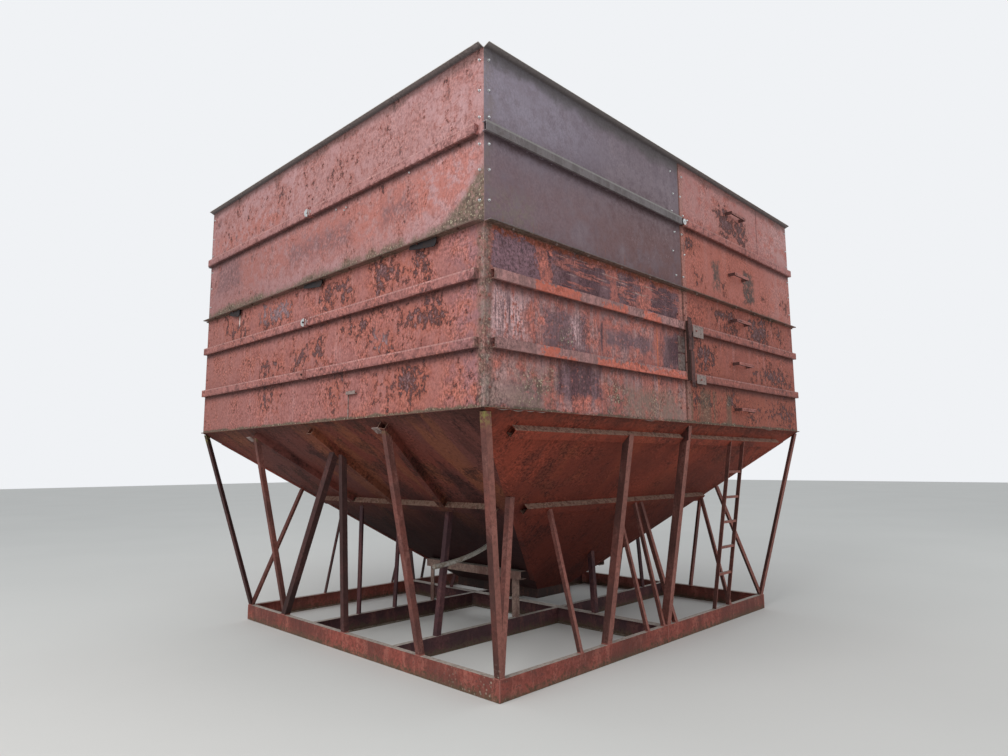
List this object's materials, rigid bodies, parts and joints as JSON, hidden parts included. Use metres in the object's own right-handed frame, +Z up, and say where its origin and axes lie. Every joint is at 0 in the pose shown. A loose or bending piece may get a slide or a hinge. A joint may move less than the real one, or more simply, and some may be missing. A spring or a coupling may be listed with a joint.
{
  "type": "grain silo",
  "caption": "Outdoor rectangular steel grain bin with a pyramid hopper bottom, raised on raked angle legs over a skid base, with climbing rungs and a ladder.",
  "frame": {"origin": "on the ground under the middle of the bin, on the underside of the base's centre beam", "axes": "+Z up; the face with the rungs and ladder looks along -Y; +X runs to the right of someone who faces it"},
  "size_m": [5.15, 4.485, 4.408],
  "materials": {
    "faded_red_paint": "faded red oxide paint, chalky, peeled to brown primer and rust in patches",
    "bare_steel": "dark weathered steel sheet with a thin purple-brown rust film",
    "hopper_paint": "dark reddish brown paint with rust streaks",
    "leg_paint": "brownish red paint, worn along the edges",
    "base_paint": "red oxide paint with dirt and rust near the ground",
    "dark_steel": "dark rusted steel"
  },
  "bodies": {
    "root": {"back_end_brace": "leg_paint", "back_inner_brace_left": "leg_paint", "back_inner_brace_right": "leg_paint", "back_outer_brace": "leg_paint", "back_split_leg": "leg_paint", "back_wall_lower_left": "faded_red_paint", "back_wall_lower_right": "faded_red_paint", "back_wall_upper_left": "bare_steel", "back_wall_upper_right": "faded_red_paint", "base_back_beam": "base_paint", "base_centre_beam": "base_paint", "base_front_beam": "base_paint", "base_left_beam": "base_paint", "base_right_beam": "base_paint", "corner_leg_back_left": "leg_paint", "corner_leg_back_right": "leg_paint", "corner_leg_front_left": "leg_paint", "corner_leg_front_right": "leg_paint", "front_end_brace": "leg_paint", "front_inner_brace_left": "leg_paint", "front_inner_brace_right": "leg_paint", "front_long_leg": "leg_paint", "front_outer_brace": "leg_paint", "front_split_brace": "leg_paint", "front_split_leg": "leg_paint", "front_wall_lower_left": "faded_red_paint", "front_wall_lower_right": "faded_red_paint", "front_wall_upper_left": "bare_steel", "front_wall_upper_right": "faded_red_paint", "hip_leg_back_left": "leg_paint", "hip_leg_back_right": "leg_paint", "hip_leg_front_left": "leg_paint", "hip_leg_front_right": "leg_paint", "hopper_back": "hopper_paint", "hopper_front": "hopper_paint", "hopper_left": "hopper_paint", "hopper_right": "hopper_paint", "inner_beam_back_left": "leg_paint", "inner_beam_back_right": "leg_paint", "inner_beam_front_left": "leg_paint", "inner_beam_front_right": "leg_paint", "ladder": "leg_paint", "left_back_leg": "leg_paint", "left_centre_post": "leg_paint", "left_front_leg": "leg_paint", "left_rake_brace": "leg_paint", "left_wall_lower": "faded_red_paint", "left_wall_upper": "faded_red_paint", "outlet_collar": "dark_steel", "portal_left": "leg_paint", "portal_right": "leg_paint", "right_back_leg": "leg_paint", "right_centre_post": "leg_paint", "right_front_leg": "leg_paint", "right_rake_brace": "leg_paint", "right_wall_lower": "faded_red_paint", "right_wall_upper": "faded_red_paint", "split_tie_bracket": "dark_steel"}
  },
  "joints": []
}
